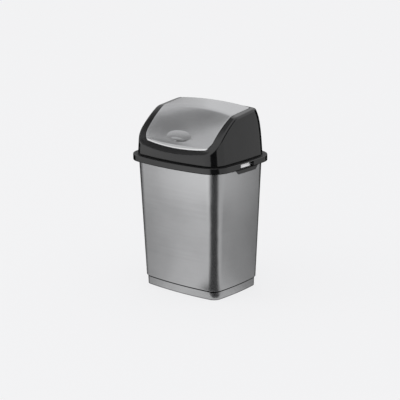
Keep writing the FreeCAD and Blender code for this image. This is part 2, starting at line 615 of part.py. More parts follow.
def flap_plan(name, grow="0"):
    """An upright block in the flap's plan, made larger all round by a size."""
    body = new_body(name)
    sketch = new_sketch(body, name + "_plan", "XY_Plane", LEDGE_TOP)
    half = "%s + (%s)" % (FLAP_HALF, grow)
    back = "%s + (%s)" % (FLAP_BACK, grow)
    nose = "%s - flap_narrowing" % half
    bow = "flap_front_bow + (%s)" % grow
    bow_centre = "flap_front_bow - (%s)" % FLAP_FRONT
    bend_y, nose_y = -number("bend_fore"), -number("bend_fore + narrowing_length")
    wide, aft, slim = number(half), number(back), number(nose)
    radius, centre = number(bow), number(bow_centre)

    # the narrowing sides run on until they meet the bowed front edge
    lean = (wide - slim) / (bend_y - nose_y)
    corner_y = nose_y
    for step in range(20):
        corner_x = slim + lean * (corner_y - nose_y)
        corner_y = centre - math.sqrt(radius ** 2 - corner_x ** 2)
    corner_x = slim + lean * (corner_y - nose_y)
    angle = math.asin(corner_x / radius)
    lines = (((-corner_x, corner_y), (-wide, bend_y)), ((-wide, bend_y), (-wide, aft)),
             ((-wide, aft), (wide, aft)), ((wide, aft), (wide, bend_y)),
             ((wide, bend_y), (corner_x, corner_y)))
    for near, far in lines:
        sketch.addGeometry(Part.LineSegment(vector(*near), vector(*far)), False)
    circle = Part.Circle(vector(0, centre), FreeCAD.Vector(0, 0, 1), radius)
    down = -math.pi / 2
    sketch.addGeometry(Part.ArcOfCircle(circle, down - angle, down + angle), False)
    for side in (-1, 1):
        sketch.addGeometry(Part.Point(vector(side * slim, nose_y)), True)
    left_taper, left, rear, right, right_taper, front, left_mark, right_mark = range(8)
    for first, second in ((left_taper, left), (left, rear), (rear, right), (right, right_taper)):
        limit(sketch, "Coincident", first, 2, second, 1)
    limit(sketch, "Coincident", right_taper, 2, front, 2)
    limit(sketch, "Coincident", front, 1, left_taper, 1)
    limit(sketch, "Vertical", left)
    limit(sketch, "Vertical", right)
    limit(sketch, "Horizontal", rear)
    place_point(sketch, right, 1, half, back)
    limit(sketch, "DistanceX", left, 2, -1, 1, half)
    for edge, point in ((left, 1), (right, 2)):
        limit(sketch, "DistanceY", edge, point, -1, 1, "bend_fore")
    place_point(sketch, right_mark, 1, x=nose)
    limit(sketch, "DistanceX", left_mark, 1, -1, 1, nose)
    for mark, taper in ((left_mark, left_taper), (right_mark, right_taper)):
        limit(sketch, "DistanceY", mark, 1, -1, 1, "bend_fore + narrowing_length")
        limit(sketch, "PointOnObject", mark, 1, taper)
    limit(sketch, "PointOnObject", front, 3, -2)
    place_point(sketch, front, 3, y=bow_centre)
    limit(sketch, "Radius", front, bow)
    pad(body, name + "_block", sketch, "crest_rise + 2 * overrun")
    round_edges(body, name + "_front_corners", "flap_corner + (%s)" % grow,
                lambda edge: is_upright(edge) and edge_middle(edge).y < nose_y)
    round_edges(body, name + "_rear_corners", "flap_tail_corner + (%s)" % grow,
                lambda edge: is_upright(edge) and edge_middle(edge).y > aft - FLAT)
    return body


def is_upright(edge):
    box = edge.BoundBox
    return box.XLength < FLAT and box.YLength < FLAT


def flap_solid(name, reach_in="0"):
    """Everything under the flap's outer surface, moved inward by a size."""
    body = new_body(name)
    crowned_top(body, name + "_top", FLAP_REACH, *FLAP_CURVE, inset=reach_in)
    return body


def build_lid():
    """The lid frame: skirt band, ledge, hood with cheeks, collar, tabs and bosses."""
    body = hood_solid("lid_frame")
    combine(body, "hollow", "Cut", hood_solid("hood_inside", "hood_wall"))
    combine(body, "opening", "Cut", flap_plan("flap_opening", "flap_gap"))

    # bosses for the pins and lugs under the flap's rear corners, rooted in the walls
    inner = new_body("inner_lugs")
    disc = new_sketch(inner, "boss_outline", "YZ_Plane", BOSS_FACE)
    add_circle(disc, "0 - pivot_fore", PIVOT_HEIGHT, "boss_radius")
    boss = pad(inner, "boss", disc, "cheek_margin")
    share = "((%s - rest_margin) / (%s))^2" % (FLAP_HALF, FLAP_REACH)
    rest_top = ("%s + crest_rise + top_crown * (1 - %s) - flap_sink * %s - flap_lip - rest_gap"
                % (LID_BASE, share, share))
    rest = new_sketch(inner, "rest_outline", "XY_Plane", rest_top)
    near, far = FLAP_BACK + " - rest_under", HOOD_DEPTH
    outer = FLAP_HALF + " - rest_margin"
    closed_lines(rest, ((outer + " - rest_wide", near), (outer, near),
                        (outer, far), (outer + " - rest_wide", far)))
    rest_pad = pad(inner, "rest", rest, "rest_thick", reverse=True)
    mirror_across_width(inner, "inner_lugs_both", [boss, rest_pad])
    combine(inner, "inner_lugs_rooted", "Common", hood_solid("hood_middle", "hood_wall / 2", False))
    combine(body, "with_inner_lugs", "Fuse", inner)
    hole = new_sketch(body, "pin_hole_outline", "YZ_Plane", BOSS_FACE)
    add_circle(hole, "0 - pivot_fore", PIVOT_HEIGHT, "pin_radius + pin_play")
    pin_hole = pad(body, "pin_hole", hole, "pin_long + pin_end_gap", reverse=True, kind="Pocket")
    mirror_across_width(body, "pin_holes", [pin_hole])

    # the skirt band with its ledge, its tabs and the windows above them
    bows = ("hood_side_bow + ledge_wide", "hood_front_bow + ledge_wide")
    band = (BAND_HALF, BAND_DEPTH, "band_corner", bows)
    skirt = ring_sketch(body, "skirt_outline", LEDGE_TOP, *band)
    pad(body, "skirt", skirt, "band_tall + tab_drop", reverse=True)
    ledge_level = number(LEDGE_TOP)
    edge_x, edge_y = number(BAND_HALF + " - ledge_wide / 2"), number(BAND_DEPTH + " - ledge_wide / 2")
    round_edges(body, "ledge_edge", "ledge_round", lambda edge: outer_level_edge(
        edge, ledge_level, edge_x - number("band_corner"), edge_y - number("band_corner"))
        and beyond_hood(edge))
    under = ring_sketch(body, "skirt_inside", LID_BASE, *band, inset="band_wall")
    pad(body, "skirt_hollow", under, "0", kind="Pocket", through=True)
    trim = new_sketch(body, "skirt_trim_outline", "YZ_Plane")
    low, high = TAB_BOTTOM + " - overrun", BAND_BOTTOM
    wide = BAND_DEPTH + " + overrun"
    closed_lines(trim, ((wide, low), (wide, high), ("tab_half_long + tab_flare", high),
                        ("tab_half_long", TAB_BOTTOM), ("tab_half_long", low)))
    closed_lines(trim, (("0 - (%s)" % wide, low), ("0 - tab_half_long", low),
                        ("0 - tab_half_long", TAB_BOTTOM),
                        ("0 - tab_half_long - tab_flare", high), ("0 - (%s)" % wide, high)))
    pad(body, "skirt_trim", trim, "0", kind="Pocket", through=True, midplane=True)
    window = new_sketch(body, "window_outline", "YZ_Plane")
    sill = BAND_BOTTOM + " + window_rise"
    closed_lines(window, (("0 - window_half_long", sill), ("window_half_long", sill),
                          ("window_half_long", LID_BASE), ("0 - window_half_long", LID_BASE)))
    pad(body, "windows", window, "0", kind="Pocket", through=True, midplane=True)

    # the collar that locates the lid inside the tub
    rim = (RIM_HALF, RIM_DEPTH, "step_corner + tub_spread",
           ("tub_side_bow + tub_spread", "tub_front_bow + tub_spread"))
    fit = "tub_wall + collar_clear"
    mouth = ring_sketch(body, "mouth_outline", LEDGE_TOP, *rim, inset=fit + " + collar_wall")
    pad(body, "mouth", mouth, "ledge_thick", kind="Pocket")
    collar = ring_sketch(body, "collar_outline", LID_BASE, *rim, inset=fit)
    round_outline(collar, *ring_terms(*rim, inset=fit + " + collar_wall"))
    pad(body, "collar", collar, "collar_drop", reverse=True)

    # the hooks inside the tabs, which catch under the tub's lugs
    hook = new_sketch(body, "hook_outline", "XZ_Plane", "0 - hook_half_long")
    tip = RIM_HALF + " + rim_reach + lug_nose + seat_gap"
    root = BAND_HALF + " - band_wall / 2"
    hook_top = "rim_height - lug_drop - seat_gap"
    closed_lines(hook, ((tip, hook_top), (tip, hook_top + " - hook_tall / 2"),
                        (root, hook_top + " - hook_tall"), (root, hook_top)))
    hook_pad = pad(body, "hook", hook, "2 * hook_half_long")
    mirror_across_width(body, "hooks", [hook_pad])
    return body


def beyond_hood(edge):
    """True for an edge of the ledge's outer outline, not of the hood's foot."""
    spot = edge_middle(edge)
    near_x = abs(spot.x) > number(HOOD_HALF + " + ledge_wide / 2")
    near_y = abs(spot.y) > number(HOOD_DEPTH + " + ledge_wide / 2")
    corner_x = abs(spot.x) - number(BAND_HALF + " - band_corner")
    corner_y = abs(spot.y) - number(BAND_DEPTH + " - band_corner")
    beyond = math.hypot(max(corner_x, 0), max(corner_y, 0)) > number("band_corner - ledge_wide / 2")
    return near_x or near_y or beyond


def add_circle(sketch, x, y, radius):
    """A circle whose centre and radius are bound to the sheet."""
    circle = Part.Circle(vector(number(x), number(y)), FreeCAD.Vector(0, 0, 1), number(radius))
    sketch.addGeometry(circle, False)
    place_point(sketch, 0, 3, x, y)
    limit(sketch, "Radius", 0, radius)


def build_flap():
    """The flap: a curved plate with a turned-down edge, a dish, two ears and pins."""
    body = flap_solid("swing_flap")
    combine(body, "flap_in_plan", "Common", flap_plan("flap_outline"))
    foot = number(LEDGE_TOP)
    shape = body.Tip.Shape
    round_edges(body, "flap_edge", "flap_edge_round",
                lambda edge: edge.BoundBox.ZMin > foot and is_sharp(shape, edge)
                and not is_upright(edge))
    core = flap_solid("flap_core", "flap_thick")
    combine(core, "flap_core_in_plan", "Common", flap_plan("flap_core_plan", "0 - flap_lip_wall"))
    combine(body, "flap_hollow", "Cut", core)
    combine(body, "flap_lip_end", "Cut", flap_solid("flap_under", "flap_lip"))

    # the dish's back swells under the plate, so that the wall stays even
    back = new_body("dish_back")
    egg(back, "dish_outer", "Additive", "dish", "flap_thick")
    combine(back, "dish_back_trimmed", "Common", flap_solid("dish_limit", "flap_thick / 2"))
    combine(body, "with_dish_back", "Fuse", back)
    egg(body, "dish", "Subtractive", "dish")
    egg(body, "nick", "Subtractive", "nick")

    # ears under the plate carry the pins
    ears = new_body("ears")
    ear = new_sketch(ears, "ear_outline", "YZ_Plane", EAR_FACE + " - ear_thick")
    add_strap(ear)
    ear_pad = pad(ears, "ear", ear, "ear_thick")
    mirror_across_width(ears, "ears_both", [ear_pad])
    combine(ears, "ears_trimmed", "Common", flap_solid("ear_limit", "flap_thick / 2"))
    combine(body, "with_ears", "Fuse", ears)
    pin = new_sketch(body, "pin_outline", "YZ_Plane", EAR_FACE + " - ear_thick / 2")
    add_circle(pin, "0 - pivot_fore", PIVOT_HEIGHT, "pin_radius")
    pin_pad = pad(body, "pin", pin, "ear_thick / 2 + boss_gap + pin_long")
    mirror_across_width(body, "pins", [pin_pad])
    tip = number(BOSS_FACE + " + pin_long")
    round_edges(body, "pin_ends", "pin_chamfer",
                lambda edge: abs(abs(edge_middle(edge).x) - tip) < FLAT, kind="Chamfer")
    return body


def egg(body, name, kind, word, grow="0"):
    """An egg shape over the flap's slope, tilted with it; its sizes start with a word."""
    feature = body.newObject("PartDesign::%sEllipsoid" % kind, name)
    feature.Placement.Rotation = FreeCAD.Rotation(FreeCAD.Vector(1, 0, 0), 1)
    run = "(slope_centre_back + %s_fore)" % word
    face = "(slope_radius + slope_crown)"
    for radius, side in (("Radius1", "deep"), ("Radius2", "wide"), ("Radius3", "tall")):
        feature.setExpression(radius, sized("%s_half_%s + (%s)" % (word, side, grow)))
    reach = "(%s + %s_lift) / %s" % (face, word, face)
    feature.setExpression("Placement.Base.y", sized("slope_centre_back - %s * %s" % (run, reach)))
    feature.setExpression("Placement.Base.z", sized(
        "%s + sqrt(%s^2 - %s^2) * %s" % (SLOPE_HEIGHT, face, run, reach)))
    feature.setExpression("Placement.Rotation.Angle", sized("asin(%s / %s)" % (run, face)))
    doc.recompute()
    return feature


def add_strap(sketch):
    """An ear's outline: a round foot about the pivot and straight sides going up."""
    y, z, radius = -number("pivot_fore"), number(PIVOT_HEIGHT), number("ear_radius")
    top = z + 4 * radius
    circle = Part.Circle(vector(y, z), FreeCAD.Vector(0, 0, 1), radius)
    sketch.addGeometry(Part.ArcOfCircle(circle, math.pi, 2 * math.pi), False)
    places = (y + radius, z), (y + radius, top), (y - radius, top), (y - radius, z)
    for near, far in zip(places, places[1:]):
        sketch.addGeometry(Part.LineSegment(vector(*near), vector(*far)), False)
    limit(sketch, "Tangent", 0, 2, 1, 1)
    limit(sketch, "Coincident", 1, 2, 2, 1)
    limit(sketch, "Coincident", 2, 2, 3, 1)
    limit(sketch, "Tangent", 3, 2, 0, 1)
    limit(sketch, "Vertical", 1)
    limit(sketch, "Horizontal", 2)
    place_point(sketch, 0, 3, "0 - pivot_fore", PIVOT_HEIGHT)
    limit(sketch, "Radius", 0, "ear_radius")
    place_point(sketch, 1, 2, y=PIVOT_HEIGHT + " + 4 * ear_radius")


def check_document():
    """Stop if any object failed or any shape is null or invalid."""
    doc.recompute()
    for item in doc.Objects:
        if {"Invalid", "Error"} & set(item.State):
            raise ValueError("%s failed: %s" % (item.Name, item.State))


FLAT = 0.01
SHARP_ANGLE = 20
fill_sheet()
sheet_reader = doc.addObject("App::FeaturePython", "Reader")
PIECES = (build_tub(), build_lid(), build_flap())
check_document()
os.makedirs("parts", exist_ok=True)
for piece in PIECES:
    shape = piece.Shape
    if shape.isNull() or not shape.isValid() or len(shape.Solids) != 1:
        raise ValueError("%s has a bad shape" % piece.Label)
    box = shape.optimalBoundingBox()
    print(piece.Label, "volume", round(shape.Volume), "faces", len(shape.Faces), box)
    shape.exportStep("parts/%s.step" % piece.Label)
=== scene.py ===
import bmesh
import bpy
import math
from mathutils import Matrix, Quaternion, Vector


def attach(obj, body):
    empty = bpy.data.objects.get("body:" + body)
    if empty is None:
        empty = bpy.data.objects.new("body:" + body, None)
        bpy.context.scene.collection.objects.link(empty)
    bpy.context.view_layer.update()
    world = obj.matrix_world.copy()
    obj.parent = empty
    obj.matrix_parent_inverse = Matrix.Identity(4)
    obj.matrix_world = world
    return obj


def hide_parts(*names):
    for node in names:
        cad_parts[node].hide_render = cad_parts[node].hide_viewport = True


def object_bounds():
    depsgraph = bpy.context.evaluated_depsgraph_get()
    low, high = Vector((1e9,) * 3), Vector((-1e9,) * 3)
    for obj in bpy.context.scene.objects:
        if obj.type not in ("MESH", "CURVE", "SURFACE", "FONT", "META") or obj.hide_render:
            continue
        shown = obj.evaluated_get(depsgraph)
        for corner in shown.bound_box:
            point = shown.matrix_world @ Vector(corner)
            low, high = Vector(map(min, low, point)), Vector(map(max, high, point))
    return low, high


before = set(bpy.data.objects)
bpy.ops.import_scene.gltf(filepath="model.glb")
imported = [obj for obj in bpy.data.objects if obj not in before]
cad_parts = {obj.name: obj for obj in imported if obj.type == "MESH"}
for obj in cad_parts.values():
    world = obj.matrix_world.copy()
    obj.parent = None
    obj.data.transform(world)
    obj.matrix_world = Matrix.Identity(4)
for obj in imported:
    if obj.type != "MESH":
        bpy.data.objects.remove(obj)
cad_low, cad_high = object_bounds()

# The tub: one injection moulding in plastic filled with aluminium flake, which gives
# the silver its soft metallic sheen. It stands on a foot ring, steps out above it and
# carries a flat rim with two snap lugs for the lid.

crease_angle = math.radians(28)
weld_distance = 2e-6


def moulding(node, name, body, finish):
    """The node's own surface with its facets welded, so that it shades as one skin."""
    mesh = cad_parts[node].data.copy()
    mesh.name = name
    work = bmesh.new()
    work.from_mesh(mesh)
    bmesh.ops.remove_doubles(work, verts=work.verts, dist=weld_distance)
    work.to_mesh(mesh)
    work.free()
    mesh.attributes.remove(mesh.attributes["custom_normal"])
    mesh.shade_smooth()
    mesh.set_sharp_from_angle(angle=crease_angle)
    mesh.materials.clear()
    mesh.materials.append(finish)
    piece = bpy.data.objects.new(name, mesh)
    bpy.context.scene.collection.objects.link(piece)
    even = piece.modifiers.new("even_normals", "WEIGHTED_NORMAL")
    even.keep_sharp = True
    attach(piece, body)
    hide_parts(node)


def new_finish(name):
    """An empty material with a Principled shader and a vector in the piece's own metres."""
    finish = bpy.data.materials.new(name)
    finish.use_nodes = True
    nodes = finish.node_tree.nodes
    place = nodes.new("ShaderNodeTexCoord").outputs["Object"]
    return finish, nodes, finish.node_tree.links, nodes["Principled BSDF"], place


def noise(nodes, links, place, scale, detail, roughness=0.5):
    """Noise with a given number of waves in a metre."""
    cloud = nodes.new("ShaderNodeTexNoise")
    cloud.inputs["Scale"].default_value = scale
    cloud.inputs["Detail"].default_value = detail
    cloud.inputs["Roughness"].default_value = roughness
    links.new(place, cloud.inputs["Vector"])
    return cloud.outputs["Fac"]


noise_low, noise_high = 0.3, 0.7


def spread(nodes, links, value, low, high):
    """The middle of a noise's values stretched to run from low to high."""
    stretch = nodes.new("ShaderNodeMapRange")
    stretch.inputs["From Min"].default_value = noise_low
    stretch.inputs["From Max"].default_value = noise_high
    stretch.inputs["To Min"].default_value = low
    stretch.inputs["To Max"].default_value = high
    links.new(value, stretch.inputs["Value"])
    return stretch.outputs["Result"]


def blend_colours(nodes, links, share, first, second):
    """The first colour where the share is 0, the second where it is 1."""
    mix = nodes.new("ShaderNodeMix")
    mix.data_type = "RGBA"
    links.new(share, mix.inputs["Factor"])
    colour_sockets = [socket for socket in mix.inputs if socket.type == "RGBA"]
    for socket, colour in zip(colour_sockets, (first, second)):
        if isinstance(colour, tuple):
            socket.default_value = (*colour, 1)
        else:
            links.new(colour, socket)
    return next(socket for socket in mix.outputs if socket.type == "RGBA")


relief_strength = 0.4


def bump(nodes, links, height, distance):
    """Soft relief of a given height in metres."""
    relief = nodes.new("ShaderNodeBump")
    relief.inputs["Distance"].default_value = distance
    relief.inputs["Strength"].default_value = relief_strength
    links.new(height, relief.inputs["Height"])
    return relief.outputs["Normal"]


def combine(nodes, links, operation, *terms):
    """A Math node on sockets or numbers."""
    node = nodes.new("ShaderNodeMath")
    node.operation = operation
    for socket, term in zip(node.inputs, terms):
        if isinstance(term, (int, float)):
            socket.default_value = term
        else:
            links.new(term, socket)
    return node.outputs[0]


def soft_step(nodes, links, value, start, end, low=0.0, high=1.0):
    """Goes smoothly from low at the start to high at the end."""
    step = nodes.new("ShaderNodeMapRange")
    step.interpolation_type = "SMOOTHSTEP"
    step.inputs["From Min"].default_value = start
    step.inputs["From Max"].default_value = end
    step.inputs["To Min"].default_value = low
    step.inputs["To Max"].default_value = high
    links.new(value, step.inputs["Value"])
    return step.outputs["Result"]


def level_band(nodes, links, place, low, high, soft):
    """1 between two heights of the piece, in metres, and 0 above and below."""
    parts = nodes.new("ShaderNodeSeparateXYZ")
    links.new(place, parts.inputs["Vector"])
    return combine(nodes, links, "MULTIPLY",
                   soft_step(nodes, links, parts.outputs["Z"], low - soft, low),
                   soft_step(nodes, links, parts.outputs["Z"], high, high + soft, 1.0, 0.0))


# waves in a metre: clouds of the melt, single flakes, and level streaks
flow_waves = 14
flake_waves = 2600
streak_waves = (5, 5, 420)
flake_glint = 0.03
streak_glint = 0.025
streak_dullness = 0.02
flow_dullness = 0.03
flake_relief = 0.000003
painted_shade_colour = (0.006, 0.006, 0.006)
painted_light_silver = (0.94, 0.94, 0.95)


def silver_plastic(name, pale, dark, roughness, rim_tone, streaky, painted_shade_bands=(), painted_light_bands=()):
    """Flake-filled plastic: flakes that glint one by one, and clouds where the melt flowed.

    rim_tone tints what is seen at a grazing angle, and streaky is the share of the level
    streaks that shows. Then come level bands of painted shade, darkened toward near black
    where shade falls: low, high, soft, depth; and level bands of painted light, painted
    bright: low, high, soft.
    """
    finish, nodes, links, shader, place = new_finish(name)
    flow = noise(nodes, links, place, flow_waves, detail=3)
    flake = noise(nodes, links, place, flake_waves, detail=1)
    stretch = nodes.new("ShaderNodeMapping")
    stretch.inputs["Scale"].default_value = streak_waves
    links.new(place, stretch.inputs["Vector"])
    streak = noise(nodes, links, stretch.outputs["Vector"], 1, detail=3, roughness=0.7)
    clouds = blend_colours(nodes, links, spread(nodes, links, flow, 0, 1), dark, pale)
    glint = nodes.new("ShaderNodeHueSaturation")
    links.new(clouds, glint.inputs["Color"])
    flakes = spread(nodes, links, flake, 1 - flake_glint, 1 + flake_glint)
    streaks = spread(nodes, links, streak, 1 - streak_glint * streaky, 1 + streak_glint * streaky)
    links.new(combine(nodes, links, "MULTIPLY", flakes, streaks), glint.inputs["Value"])
    colour = glint.outputs["Color"]
    # painted shade: each band is darkened toward near black where shade falls
    for low, high, soft, depth in painted_shade_bands:
        band = level_band(nodes, links, place, low, high, soft)
        share = combine(nodes, links, "MULTIPLY", band, depth)
        colour = blend_colours(nodes, links, share, colour, painted_shade_colour)
    # painted light: each band is painted bright silver
    for low, high, soft in painted_light_bands:
        band = level_band(nodes, links, place, low, high, soft)
        colour = blend_colours(nodes, links, band, colour, painted_light_silver)
    links.new(colour, shader.inputs["Base Color"])
    dull_streaks = spread(nodes, links, streak, -streak_dullness * streaky, streak_dullness * streaky)
    dull_clouds = spread(nodes, links, flow, roughness - flow_dullness, roughness + flow_dullness)
    links.new(combine(nodes, links, "ADD", dull_streaks, dull_clouds), shader.inputs["Roughness"])
    links.new(bump(nodes, links, flake, flake_relief), shader.inputs["Normal"])
    shader.inputs["Metallic"].default_value = 0.92
    shader.inputs["Specular Tint"].default_value = (rim_tone, rim_tone, rim_tone, 1)
    shader.inputs["Coat Weight"].default_value = 0.15
    shader.inputs["Coat Roughness"].default_value = 0.25
    return finish


# painted shade under the foot step and along the foot, and painted light on the rim that the lid's band
# covers
step_shade = (0.0169, 0.0197, 0.0004, 0.985)
foot_shade = (-0.001, 0.0012, 0.0008, 0.6)
rim_painted_light = (0.2765, 0.2838, 0.0003)
tub_silver = silver_plastic("tub_silver", pale=(0.545, 0.548, 0.556), dark=(0.505, 0.508, 0.515),
                            roughness=0.222, rim_tone=0.0, streaky=1.0,
                            painted_shade_bands=(step_shade, foot_shade), painted_light_bands=(rim_painted_light,))
moulding("bin_body", "tub", "bin", tub_silver)

# The lid frame: a black gloss moulding. Its band hangs outside the tub's rim, two tabs
# with windows snap under the tub's lugs, and the hood above carries the flap.

# waves in a metre: the haze of handling, and the grain of the mould
haze_waves = 30
grain_waves = 1800
grain_relief = 0.00001
gloss_dullness, haze_dullness, shade_line_dullness = 0.09, 0.14, 0.5
bare_tint, shade_line_tint = (1.0, 1.0, 1.0), (0.06, 0.06, 0.06)


def black_plastic(name, pale, dark, creases):
    """Gloss black plastic, with the faint waviness and handling haze of a moulded shell.

    creases lists level bands of painted shade, dark dull lines where shade falls: low, high, soft.
    """
    finish, nodes, links, shader, place = new_finish(name)
    haze = noise(nodes, links, place, haze_waves, detail=4)
    grain = noise(nodes, links, place, grain_waves, detail=1)
    tone = blend_colours(nodes, links, spread(nodes, links, haze, 0, 1), dark, pale)
    links.new(tone, shader.inputs["Base Color"])
    # painted shade: the crease bands get a dark specular tint and more roughness
    shade_lines = 0.0
    for low, high, soft in creases:
        shade_lines = combine(nodes, links, "MAXIMUM", shade_lines, level_band(nodes, links, place, low, high, soft))
    links.new(blend_colours(nodes, links, shade_lines, bare_tint, shade_line_tint), shader.inputs["Specular Tint"])
    gloss = spread(nodes, links, haze, gloss_dullness, haze_dullness)
    links.new(combine(nodes, links, "MULTIPLY_ADD", shade_lines, shade_line_dullness, gloss), shader.inputs["Roughness"])
    links.new(bump(nodes, links, grain, grain_relief), shader.inputs["Normal"])
    shader.inputs["Specular IOR Level"].default_value = 0.7
    return finish


# painted shade: dark dull lines where the hood meets the ledge, and along the band's foot
ledge_shade_line = (0.2871, 0.2890, 0.0003)
band_shade_line = (0.2739, 0.2759, 0.0004)
lid_black = black_plastic("lid_black", pale=(0.007, 0.0071, 0.0076), dark=(0.005, 0.0051, 0.0055),
                          creases=(ledge_shade_line, band_shade_line))
moulding("lid_frame", "lid_frame_shell", "lid", lid_black)

# The flap: the same silver plastic as the tub, moulded to a double curve with a
# turned-down edge and a thumb dish. Its two pins turn in the hood's cheeks.

flap_silver = silver_plastic("flap_silver", pale=(0.515, 0.519, 0.525), dark=(0.48, 0.483, 0.49),
                             roughness=0.238, rim_tone=1.0, streaky=0.15)
# colours of the flap's painted shade and painted highlight, and the share they show at
lip_shade_colour = (0.05, 0.05, 0.05)
edge_highlight_silver = (0.84, 0.84, 0.85)
painted_share = 0.9


def curled_line(nodes, links, height, curl):
    """How far across the flap a point lies, and how far above a line that curls up at its ends."""
    parts = nodes.new("ShaderNodeSeparateXYZ")
    links.new(nodes.new("ShaderNodeTexCoord").outputs["Object"], parts.inputs["Vector"])
    across = parts.outputs["X"]
    square = combine(nodes, links, "MULTIPLY", across, across)
    line = combine(nodes, links, "MULTIPLY_ADD", square, curl, height)
    return across, combine(nodes, links, "SUBTRACT", parts.outputs["Z"], line)


def paint_over(finish, share, painted_colour):
    """Lays a painted colour over a finish where the share is 1: here painted shade under the dish's lip and
    a painted highlight along the front edge.
    """
    nodes, links = finish.node_tree.nodes, finish.node_tree.links
    base = nodes["Principled BSDF"].inputs["Base Color"]
    links.new(blend_colours(nodes, links, share, base.links[0].from_socket, painted_colour), base)


def paint_lip_shade(finish, height, curl, thick, soft_above, soft_below, left, right, soft_ends):
    """Painted shade: a dark curled line under the dish's lower lip."""
    nodes, links = finish.node_tree.nodes, finish.node_tree.links
    across, above = curled_line(nodes, links, height, curl)
    thickness = combine(nodes, links, "MULTIPLY",
                        soft_step(nodes, links, above, -soft_below, 0.0),
                        soft_step(nodes, links, above, thick, thick + soft_above, 1.0, 0.0))
    length = combine(nodes, links, "MULTIPLY",
                     soft_step(nodes, links, across, left - soft_ends, left),
                     soft_step(nodes, links, across, right, right + soft_ends, painted_share, 0.0))
    paint_over(finish, combine(nodes, links, "MULTIPLY", thickness, length), lip_shade_colour)


def paint_edge_highlight(finish, height, curl, wide):
    """A painted highlight: a brighter line along the flap's front edge."""
    nodes, links = finish.node_tree.nodes, finish.node_tree.links
    above = curled_line(nodes, links, height, curl)[1]
    paint_over(finish, soft_step(nodes, links, above, wide / 2, wide, painted_share, 0.0), edge_highlight_silver)


# painted shade: a dark line under the dish's lower lip
paint_lip_shade(flap_silver, height=0.3264, curl=5.0, thick=0.001, soft_above=0.0008, soft_below=0.0003,
         left=0.001, right=0.022, soft_ends=0.004)
# painted highlight: a brighter line along the flap's front edge
paint_edge_highlight(flap_silver, height=0.3138, curl=0.95, wide=0.0026)
moulding("swing_flap", "flap", "flap", flap_silver)

# The studio: a pale floor that runs to the horizon, a pale sky and one large soft lamp.
# Dark cloths, which only reflections see, stand round the bin as in a product studio and
# give the silver its dark edges and the black lid its deep tones.

pale_paper = (0.905, 0.905, 0.91405, 1)
floor_paper = (0.86, 0.86, 0.87, 1)
floor_glow_share = 0.86
floor_radius = 14.0
floor_drop = 0.0002
floor_mesh = bpy.data.meshes.new("floor")
work = bmesh.new()
bmesh.ops.create_circle(work, cap_ends=True, radius=floor_radius, segments=96)
work.to_mesh(floor_mesh)
work.free()
floor = bpy.data.objects.new("floor", floor_mesh)
bpy.context.scene.collection.objects.link(floor)
floor.location.z = cad_low.z - floor_drop


def ring_of_tones(nodes, links, angle, stops):
    """A tone for each direction round the bin; stops are degrees and tones."""
    share = combine(nodes, links, "MULTIPLY_ADD", angle, 0.5 / math.pi, 0.5)
    ramp = nodes.new("ShaderNodeValToRGB")
    links.new(share, ramp.inputs["Fac"])
    ramp.color_ramp.interpolation = "EASE"
    for index, (degrees, tone) in enumerate(stops):
        place = degrees / 360 + 0.5
        stop = ramp.color_ramp.elements[index] if index < 2 else ramp.color_ramp.elements.new(place)
        stop.position = place
        stop.color = (tone, tone, tone, 1)
    return ramp.outputs["Color"]


# the floor near the bin, farther off, and toward the horizon
near_reach, middle_start, middle_end, far_reach = 0.56, 0.84, 0.95, 1.6
near_tones = ((-180, 0.22), (-165, 0.06), (-115, 0.06), (-98, 0.12), (-85, 0.24), (-70, 0.35),
              (-50, 0.47), (-38, 0.56), (-25, 0.69), (0, 0.74), (20, 0.71), (60, 0.60),
              (78, 0.62), (104, 0.50), (111, 0.42), (122, 0.39), (131, 0.39), (141, 0.33),
              (150, 0.31), (180, 0.22))
middle_tones = ((-180, 0.30), (-140, 0.06), (-95, 0.10), (-82, 0.26), (-70, 0.40), (-50, 0.65),
                (-38, 0.93), (-25, 1.12), (0, 1.18), (20, 1.13), (74, 0.64), (88, 0.60), (100, 0.66),
                (115, 0.72), (126, 0.67), (138, 0.53), (148, 0.41), (180, 0.36))
far_tones = ((-180, 0.50), (-160, 0.20), (-110, 0.20), (-80, 0.60), (-50, 0.90), (-20, 0.90),
             (30, 0.85), (60, 0.76), (90, 0.67), (120, 0.60), (150, 0.54), (180, 0.50))

floor_finish = bpy.data.materials.new("pale_floor")
floor_finish.use_nodes = True
nodes, links = floor_finish.node_tree.nodes, floor_finish.node_tree.links
nodes.clear()
matt = nodes.new("ShaderNodeBsdfDiffuse")
matt.inputs["Color"].default_value = floor_paper
glow = nodes.new("ShaderNodeEmission")
glow.inputs["Color"].default_value = pale_paper
path = nodes.new("ShaderNodeLightPath")
shown = nodes.new("ShaderNodeMixShader")
links.new(combine(nodes, links, "MULTIPLY", path.outputs["Is Camera Ray"], floor_glow_share),
          shown.inputs["Fac"])
links.new(matt.outputs[0], shown.inputs[1])
links.new(glow.outputs[0], shown.inputs[2])

# reflections see a floor with painted shade and painted light: it darkens in some directions and close to
# the bin, where it stands for the bin's shadow, and brightens in others
spot = nodes.new("ShaderNodeSeparateXYZ")
links.new(nodes.new("ShaderNodeTexCoord").outputs["Object"], spot.inputs["Vector"])
angle = combine(nodes, links, "ARCTAN2", spot.outputs["X"],
                combine(nodes, links, "MULTIPLY", spot.outputs["Y"], -1.0))
reach = combine(nodes, links, "SQRT", combine(
    nodes, links, "MULTIPLY_ADD", spot.outputs["X"], spot.outputs["X"],
    combine(nodes, links, "MULTIPLY", spot.outputs["Y"], spot.outputs["Y"])))
tone = blend_colours(nodes, links, soft_step(nodes, links, reach, near_reach, middle_start),
                     ring_of_tones(nodes, links, angle, near_tones),
                     ring_of_tones(nodes, links, angle, middle_tones))
tone = blend_colours(nodes, links, soft_step(nodes, links, reach, middle_end, far_reach), tone,
                     ring_of_tones(nodes, links, angle, far_tones))
mirror = nodes.new("ShaderNodeEmission")
